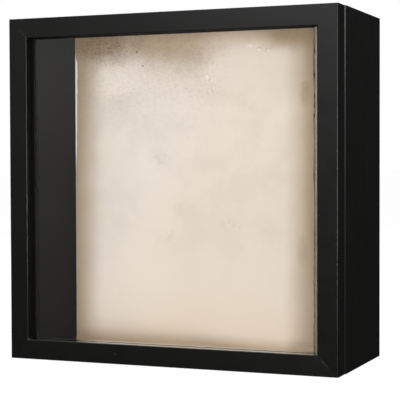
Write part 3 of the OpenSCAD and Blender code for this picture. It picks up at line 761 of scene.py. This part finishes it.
class SHADOWBOX_OT_liner(bpy.types.Operator):
    """Fold the liner over the back, the floor and the ceiling of the case"""

    bl_idname = "shadowbox.liner"
    bl_label = "Liner"

    # Squares of the back, and steps round each fold and along each leg over the floor and the ceiling
    columns = 60
    rows = 64
    fold_steps = 8
    leg_steps = 14
    # Width along the edges where the sheet is held down, and size of its swellings
    held = 40 * MM
    swelling = 45 * MM
    smooth_angle = math.radians(30)
    # The shrunken stretch of the left edge: shares of it over which it sets in at its lower and upper end,
    # depth at its lower end, share of the width that it pulls at, and how unevenly it does
    low_taper = 0.15
    high_taper = 0.08
    low_bow = 0.35
    bow_reach = 1 / 6
    unevenness = 0.15
    seed = 3

    def swell(self, sizes, spot, fold_y):
        """How far the sheet stands off the board at a spot of the back: nothing at its edges and folds."""
        if spot.y < fold_y:
            return 0.0
        across = min(spot.x - LINER_LOW.x, LINER_HIGH.x - spot.x)
        up = min(spot.z - LINER_LOW.z, LINER_HIGH.z - spot.z) - sizes.fold_r
        free = max(0, min(1, across / self.held, up / self.held))
        return sizes.liner_ripple * free * (1 + noise.noise(spot / self.swelling))

    def bow(self, sizes, height):
        """How far the left edge has shrunk at a height: most near its upper end, less and less below."""
        share = (height - sizes.bow_low) / (sizes.bow_high - sizes.bow_low)
        if not 0 < share < 1:
            return 0.0
        ends = min(1, share / self.low_taper, (1 - share) / self.high_taper)
        return sizes.bow_depth * ends * (self.low_bow + (1 - self.low_bow) * share)

    def execute(self, context):
        sizes = context.scene.shadow_box_sizes
        outer_r = sizes.fold_r + sizes.liner_t
        back = Vector((LINER_HIGH.x - LINER_LOW.x, LINER_HIGH.z - LINER_LOW.z - 2 * outer_r))
        fold_y = LINER_HIGH.y - outer_r
        straight = fold_y - LINER_LOW.y
        bpy.ops.object.select_all(action="DESELECT")
        bpy.ops.mesh.primitive_grid_add(
            x_subdivisions=self.columns, y_subdivisions=self.rows, size=1,
            location=(0, LINER_HIGH.y, MID_Z), rotation=(QUARTER_TURN, 0, 0),
        )
        piece = context.object
        piece.name = "liner_folded"
        piece.scale = (back.x, back.y, 1)
        bpy.ops.object.transform_apply()
        for end, height in ((1, LINER_HIGH.z - outer_r), (-1, LINER_LOW.z + outer_r)):
            mesh = begin_edit(piece, "EDGE")
            pick(piece, [e for e in mesh.edges if all(abs(v.co.z - height) < TOUCHING for v in e.verts)])
            bpy.ops.mesh.spin(
                steps=self.fold_steps, angle=QUARTER_TURN, center=(0, fold_y, height), axis=(-end, 0, 0)
            )
            for _ in range(self.leg_steps):
                bpy.ops.mesh.extrude_region_move(
                    TRANSFORM_OT_translate={"value": (0, -straight / self.leg_steps, 0)}
                )
            end_edit()
        begin_edit(piece)
        bpy.ops.mesh.select_all(action="SELECT")
        bpy.ops.mesh.remove_doubles(threshold=TOUCHING)
        bpy.ops.mesh.normals_make_consistent(inside=False)
        end_edit()
        reach = self.bow_reach * back.x
        chance = random.Random(self.seed)
        for vertex in piece.data.vertices:
            near = max(0, 1 - (vertex.co.x - LINER_LOW.x) / reach)
            uneven = chance.uniform(1 - self.unevenness, 1 + self.unevenness)
            vertex.co.y -= self.swell(sizes, vertex.co, fold_y)
            vertex.co.x += self.bow(sizes, vertex.co.z) * near * uneven
        apply_modifier(piece, "SOLIDIFY", thickness=sizes.liner_t, offset=-1)
        bpy.ops.object.shade_smooth_by_angle(angle=self.smooth_angle)
        paint(stand_in(piece, "liner"), liner_paper(context.scene.shadow_box_colours))
        return {"FINISHED"}


class SHADOWBOX_OT_backing(bpy.types.Operator):
    """Finish the backing board and the rear panel"""

    bl_idname = "shadowbox.backing"
    bl_label = "Backing"

    def execute(self, context):
        colours = context.scene.shadow_box_colours
        paint(frame["nodes"]["backing_board"], white_board(colours))
        paint(frame["nodes"]["rear_panel"], hardboard(colours))
        return {"FINISHED"}


class SHADOWBOX_OT_glass(bpy.types.Operator):
    """Cut the glass and grind its edges"""

    bl_idname = "shadowbox.glass"
    bl_label = "Glass"

    def execute(self, context):
        sizes = context.scene.shadow_box_sizes
        gap = Vector((0, sizes.film_gap, 0))
        low, high = GLASS_LOW + gap, GLASS_HIGH - gap
        bpy.ops.object.select_all(action="DESELECT")
        bpy.ops.mesh.primitive_cube_add(size=1, location=(low + high) / 2, scale=high - low)
        piece = context.object
        piece.name = "glass_pane_ground"
        bpy.ops.object.transform_apply()
        begin_edit(piece)
        bpy.ops.mesh.select_all(action="SELECT")
        bpy.ops.mesh.bevel(offset=sizes.glass_arris, segments=1)
        end_edit()
        paint(stand_in(piece, "glass_pane"), clear_glass(context.scene.shadow_box_colours))
        return {"FINISHED"}


class SHADOWBOX_OT_glazing_strips(bpy.types.Operator):
    """Lay the two glazing strips, trimmed by hand, between the lip and the glass"""

    bl_idname = "shadowbox.glazing_strips"
    bl_label = "Glazing strips"

    columns = 6
    rows = 150
    # How much of its line the knife keeps from one row to the next, and how far it may swing in between
    steadiness = 0.8
    swing = 0.4
    seed = 7

    def execute(self, context):
        sizes = context.scene.shadow_box_sizes
        finish = glazing_film(context.scene.shadow_box_colours)
        chance = random.Random(self.seed)
        middle = (STRIP_LOW + STRIP_HIGH) / 2
        size = STRIP_HIGH - STRIP_LOW
        thickness = size.y - 2 * sizes.film_gap
        for side, node in ((1, "right_glazing_strip"), (-1, "left_glazing_strip")):
            bpy.ops.object.select_all(action="DESELECT")
            bpy.ops.mesh.primitive_grid_add(
                x_subdivisions=self.columns, y_subdivisions=self.rows, size=1,
                location=(side * middle.x, STRIP_HIGH.y - sizes.film_gap, middle.z),
                rotation=(QUARTER_TURN, 0, 0),
            )
            piece = context.object
            piece.name = node + "_trimmed"
            piece.scale = (size.x, size.z, 1)
            bpy.ops.object.transform_apply()
            wander = 0.0
            open_edge = [v for v in piece.data.vertices if abs(abs(v.co.x) - STRIP_LOW.x) < TOUCHING]
            for vertex in sorted(open_edge, key=lambda v: v.co.z):
                slip = chance.uniform(-self.swing, self.swing)
                wander = self.steadiness * wander + slip * sizes.strip_wander
                vertex.co.x += side * wander
            apply_modifier(piece, "SOLIDIFY", thickness=thickness, offset=-1)
            paint(stand_in(piece, node), finish)
        return {"FINISHED"}


class SHADOWBOX_OT_back_woodwork(bpy.types.Operator):
    """Ease the stop strips and the hanging rail, and finish them as bare pine"""

    bl_idname = "shadowbox.back_woodwork"
    bl_label = "Back woodwork"

    def execute(self, context):
        colours = context.scene.shadow_box_colours
        upright = pine("pine_upright", colours, ALONG_Z)
        level = pine("pine_level", colours, ALONG_X)
        for node in (*UPRIGHT_PINE, *LEVEL_PINE):
            piece = eased(node, context.scene.shadow_box_sizes.wood_arris)
            paint(piece, upright if node in UPRIGHT_PINE else level)
        paint(frame["nodes"]["rail_dowels"], level)
        return {"FINISHED"}


class SHADOWBOX_OT_hinges(bpy.types.Operator):
    """Ease and blacken the hinges"""

    bl_idname = "shadowbox.hinges"
    bl_label = "Hinges"

    def execute(self, context):
        scene = context.scene
        colours = scene.shadow_box_colours
        finish = metal("blackened_steel", colours.hinge, colours.hinge_worn, roughness=0.35, rarity=0.62)
        for node in HINGES:
            paint(eased(node, scene.shadow_box_sizes.metal_arris), finish)
        for node in HINGE_SCREWS:
            paint(frame["nodes"][node], finish)
        return {"FINISHED"}


class SHADOWBOX_OT_catch(bpy.types.Operator):
    """Finish the catch magnets and the door buffers"""

    bl_idname = "shadowbox.catch"
    bl_label = "Catch"

    def execute(self, context):
        scene = context.scene
        colours = scene.shadow_box_colours
        finish = metal("nickel_plate", colours.nickel, shade(colours.nickel, 0.7), roughness=0.3)
        for node in MAGNETS:
            paint(eased(node, 2 * scene.shadow_box_sizes.metal_arris), finish)
        paint(frame["nodes"]["door_buffers"], soft_plastic(colours))
        return {"FINISHED"}


class SHADOWBOX_OT_fixings(bpy.types.Operator):
    """Finish the hangers, the brads, the nails, the pins and the screws"""

    bl_idname = "shadowbox.fixings"
    bl_label = "Hangers and fixings"

    def execute(self, context):
        scene = context.scene
        colours = scene.shadow_box_colours
        finish = metal("zinc_steel", colours.steel, colours.steel_dull, roughness=0.28)
        paint(eased("hanger_plates", scene.shadow_box_sizes.metal_arris), finish)
        for node in STEEL_FIXINGS:
            paint(frame["nodes"][node], finish)
        return {"FINISHED"}


class SHADOWBOX_OT_stage(bpy.types.Operator):
    """Set up the studio: camera, floor, dark cloth, background and softboxes"""

    bl_idname = "shadowbox.stage"
    bl_label = "Studio"

    def softbox(self, studio, name):
        """A square area lamp that looks at the middle of the case."""
        spot = Vector(getattr(studio, name + "_place"))
        bpy.ops.object.light_add(type="AREA", location=spot)
        lamp = bpy.context.object
        lamp.name = name + "_softbox"
        lamp.data.size = getattr(studio, name + "_width")
        lamp.data.energy = getattr(studio, name + "_power")
        towards = Vector((0, 0, MID_Z)) - spot
        lamp.rotation_euler = towards.to_track_quat("-Z", "Y").to_euler()

    def seen(self, tree):
        """1 on the rays that see the background itself, by eye, in a mirror or through glass."""
        rays = tree.nodes.new("ShaderNodeLightPath").outputs
        share = rays["Is Camera Ray"]
        for ray in ("Is Glossy Ray", "Is Transmission Ray"):
            either = tree.nodes.new("ShaderNodeMath")
            either.operation = "MAXIMUM"
            tree.links.new(share, either.inputs[0])
            tree.links.new(rays[ray], either.inputs[1])
            share = either.outputs[0]
        return share

    def background(self, context, studio):
        """White to look at, and a plain even light on everything else."""
        world = bpy.data.worlds.new("studio")
        world.use_nodes = True
        context.scene.world = world
        tree = world.node_tree
        tree.nodes.clear()
        level = tree.nodes.new("ShaderNodeMapRange")
        level.inputs["To Min"].default_value = studio.ambient
        tree.links.new(self.seen(tree), level.inputs["Value"])
        light = tree.nodes.new("ShaderNodeBackground")
        tree.links.new(level.outputs[0], light.inputs["Strength"])
        light.inputs["Color"].default_value = (1, 1, 1, 1)
        tree.links.new(light.outputs[0], tree.nodes.new("ShaderNodeOutputWorld").inputs["Surface"])

    def floor(self, context, studio):
        """A pale floor that keeps the object's shadow."""
        bpy.ops.object.select_all(action="DESELECT")
        bpy.ops.mesh.primitive_plane_add(size=studio.floor_width, location=(0, 0, CAD_BOX[0].z))
        floor = context.object
        floor.name = "studio_floor"
        material = bpy.data.materials.new("studio_floor")
        material.use_nodes = True
        tree = material.node_tree
        tree.nodes.clear()
        plain = tree.nodes.new("ShaderNodeBsdfDiffuse")
        plain.inputs["Color"].default_value = (*studio.floor, 1)
        glow = tree.nodes.new("ShaderNodeEmission")
        glow.inputs["Strength"].default_value = studio.glow_level
        share = tree.nodes.new("ShaderNodeMath")
        share.operation = "MULTIPLY"
        share.inputs[1].default_value = studio.glow
        tree.links.new(self.seen(tree), share.inputs[0])
        mixed = tree.nodes.new("ShaderNodeMixShader")
        for socket, source in zip(mixed.inputs, (share, plain, glow)):
            tree.links.new(source.outputs[0], socket)
        tree.links.new(mixed.outputs[0], tree.nodes.new("ShaderNodeOutputMaterial").inputs["Surface"])
        paint(floor, material)

    def flags(self, context, studio):
        """Dark cloth on the floor and all round that glows, more further up, which only the mirrors see."""
        bpy.ops.object.select_all(action="DESELECT")
        level = CAD_BOX[0].z + studio.flag_lift
        bpy.ops.mesh.primitive_plane_add(size=studio.flag_width, location=(0, 0, level))
        flags = context.object
        flags.name = "studio_flags"
        bpy.ops.object.transform_apply()
        mesh = begin_edit(flags, "EDGE")
        pick(flags, mesh.edges)
        bpy.ops.mesh.extrude_edges_move(TRANSFORM_OT_translate={"value": (0, 0, studio.flag_height)})
        end_edit()
        for ray in ("camera", "diffuse", "transmission", "shadow"):
            setattr(flags, "visible_" + ray, False)
        cloth = Finish("flag_cloth", Base_Color=(0, 0, 0), Roughness=1.0, Specular_IOR_Level=0.0)
        x, y, z = cloth.axes()
        outwards = cloth.step(cloth.away(cloth.spot), 0, studio.flag_width / 2)
        low = cloth.span(outwards, studio.flag_near, studio.flag_far)
        rise = cloth.step(z, CAD_BOX[0].z, studio.flag_dusk)
        whole = cloth.plus(low, cloth.times(rise, studio.flag_high - studio.flag_far))
        front = cloth.span(cloth.step(y, studio.flag_turn, -studio.flag_turn), studio.flag_back, 1)
        # The cloth glows though it is no lamp: its emission is the room that the lacquer and the glass
        # reflect
        cloth.feed("Emission Color", (1, 1, 1))
        cloth.feed("Emission Strength", cloth.times(whole, front))
        cloth.material.cycles.emission_sampling = "NONE"
        paint(flags, cloth.material)

    def camera(self, context, studio):
        """The camera of the photograph."""
        turned = (
            Matrix.Translation(studio.camera_place)
            @ Matrix.Rotation(studio.camera_yaw, 4, "Z")
            @ Matrix.Rotation(QUARTER_TURN - studio.camera_pitch, 4, "X")
            @ Matrix.Rotation(studio.camera_roll, 4, "Z")
        )
        bpy.ops.object.camera_add()
        camera = context.object
        camera.name = "photo_camera"
        camera.matrix_world = turned
        camera.data.lens = studio.camera_lens
        context.scene.camera = camera

    def execute(self, context):
        studio = context.scene.shadow_box_studio
        self.camera(context, studio)
        self.floor(context, studio)
        self.flags(context, studio)
        self.background(context, studio)
        for name in ("key", "sheen", "edge", "rear"):
            self.softbox(studio, name)
        context.scene.view_settings.view_transform = "Standard"
        return {"FINISHED"}


OPERATORS = (
    SHADOWBOX_OT_stage,
    SHADOWBOX_OT_door_frame,
    SHADOWBOX_OT_beads,
    SHADOWBOX_OT_case_panels,
    SHADOWBOX_OT_liner,
    SHADOWBOX_OT_backing,
    SHADOWBOX_OT_glass,
    SHADOWBOX_OT_glazing_strips,
    SHADOWBOX_OT_back_woodwork,
    SHADOWBOX_OT_hinges,
    SHADOWBOX_OT_catch,
    SHADOWBOX_OT_fixings,
)
SETTINGS = {
    "shadow_box_sizes": ShadowBoxSizes,
    "shadow_box_colours": ShadowBoxColours,
    "shadow_box_studio": ShadowBoxStudio,
}


class SHADOWBOX_PT_panel(bpy.types.Panel):
    """The stage and the pieces of the shadow box, in the order they are made, and their settings"""

    bl_idname = "SHADOWBOX_PT_panel"
    bl_label = "Shadow Box"
    bl_space_type = "VIEW_3D"
    bl_region_type = "UI"
    bl_category = "Shadow Box"

    def draw(self, context):
        for operator in OPERATORS:
            self.layout.operator(operator.bl_idname)
        for name, group in SETTINGS.items():
            box = self.layout.box()
            for setting in group.__annotations__:
                box.prop(getattr(context.scene, name), setting)


CLASSES = (*SETTINGS.values(), *OPERATORS, SHADOWBOX_PT_panel)


def register():
    for entry in CLASSES:
        bpy.utils.register_class(entry)
    for name, group in SETTINGS.items():
        setattr(bpy.types.Scene, name, bpy.props.PointerProperty(type=group))


def unregister():
    for name in SETTINGS:
        delattr(bpy.types.Scene, name)
    for entry in reversed(CLASSES):
        bpy.utils.unregister_class(entry)


def main():
    register()
    bpy.ops.shadowbox.stage()
    bpy.ops.shadowbox.door_frame()
    bpy.ops.shadowbox.beads()
    bpy.ops.shadowbox.case_panels()
    bpy.ops.shadowbox.liner()
    bpy.ops.shadowbox.backing()
    bpy.ops.shadowbox.glass()
    bpy.ops.shadowbox.glazing_strips()
    bpy.ops.shadowbox.back_woodwork()
    bpy.ops.shadowbox.hinges()
    bpy.ops.shadowbox.catch()
    bpy.ops.shadowbox.fixings()


if __name__ == "__main__":
    main()
